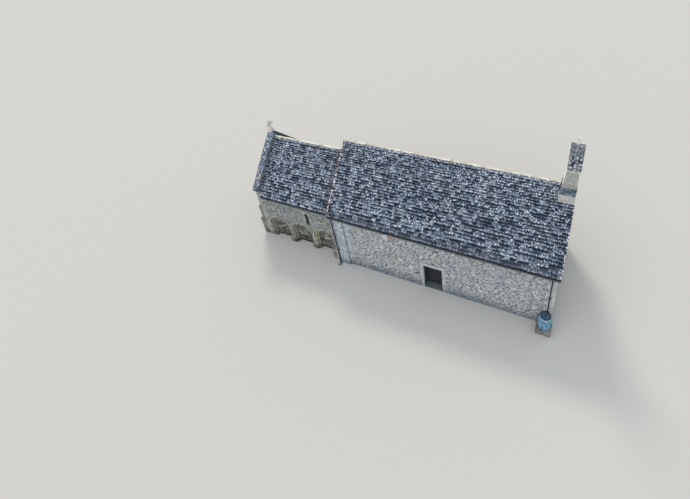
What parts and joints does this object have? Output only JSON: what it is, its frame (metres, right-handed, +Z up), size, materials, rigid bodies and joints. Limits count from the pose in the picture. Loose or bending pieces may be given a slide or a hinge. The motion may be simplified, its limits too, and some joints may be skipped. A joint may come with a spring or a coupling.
{
  "type": "small chapel",
  "caption": "Small stone chapel with a nave, a lower chancel with a blind arcade, a bellcote, an opening plank door, gutters and a water butt.",
  "frame": {"origin": "on the ground under the middle of the nave, on the underside of the nave floor", "axes": "+X along the ridge from the chancel to the bellcote gable, -Y out of the wall with the doorway, +Z up"},
  "size_m": [18.475, 6.621, 9.5097],
  "materials": {
    "rubble": "coursed rubble limestone, weathered",
    "grey_rubble": "rubble limestone, grey with lichen",
    "ashlar": "smooth sawn limestone ashlar",
    "dressed_stone": "dressed limestone, chisel finished",
    "arcade_stone": "moulded limestone, weathered warm beige",
    "coping_stone": "weathered limestone, dark with lichen",
    "ridge_stone": "cut stone ridge tiles bedded in pale mortar",
    "stone_slate": "stone slates, dark with pale lichen",
    "floor_stone": "worn stone flags",
    "oak": "dark weathered oak boards",
    "iron": "forged iron, blackened",
    "black_iron": "cast iron painted black",
    "window_glass": "old leaded window glass",
    "butt_plastic": "moulded polyethylene, faded pale blue",
    "lid_plastic": "moulded polyethylene, dark blue grey"
  },
  "bodies": {
    "chapel": {"nave_floor": "floor_stone", "chancel_floor": "floor_stone", "nave_north_wall_east": "rubble", "nave_north_wall_west": "rubble", "nave_wall_over_door": "rubble", "nave_south_wall": "rubble", "nave_east_gable": "rubble", "nave_west_gable": "rubble", "chancel_north_wall": "grey_rubble", "chancel_south_wall": "grey_rubble", "chancel_east_gable": "grey_rubble", "nave_roof_north": "stone_slate", "nave_roof_south": "stone_slate", "chancel_roof_north": "stone_slate", "chancel_roof_south": "stone_slate", "nave_ridge_tiles": "ridge_stone", "chancel_ridge_tiles": "ridge_stone", "gable_coping": "coping_stone", "gable_cross": "coping_stone", "bellcote_base": "ashlar", "bellcote_weathering": "coping_stone", "bellcote_shaft": "ashlar", "bellcote_roof": "stone_slate", "bellcote_finial": "ashlar", "door_pintles": "iron", "door_jambs": "dressed_stone", "door_lintel": "dressed_stone", "relieving_arch": "dressed_stone", "threshold": "floor_stone", "arcade_arches": "arcade_stone", "arcade_jambs": "arcade_stone", "arcade_hood_mould": "arcade_stone", "arcade_plinths": "arcade_stone", "lancet_surrounds": "dressed_stone", "lancet_glass": "window_glass", "nave_pilasters": "ashlar", "corner_stub": "grey_rubble", "east_buttresses": "grey_rubble", "gutters": "black_iron", "downpipe_east": "black_iron", "downpipe_west": "black_iron", "water_butt": "butt_plastic", "butt_lid": "lid_plastic", "butt_stand": "floor_stone"},
    "door_leaf": {"door": "oak", "door_straps": "iron"}
  },
  "joints": [
    {"name": "door_hinge", "type": "hinge", "parent": "chapel", "child": "door_leaf", "pos_m": [0.49, -2.467, 0], "axis": [0, 0, -1], "range_deg": [0, 90]}
  ]
}
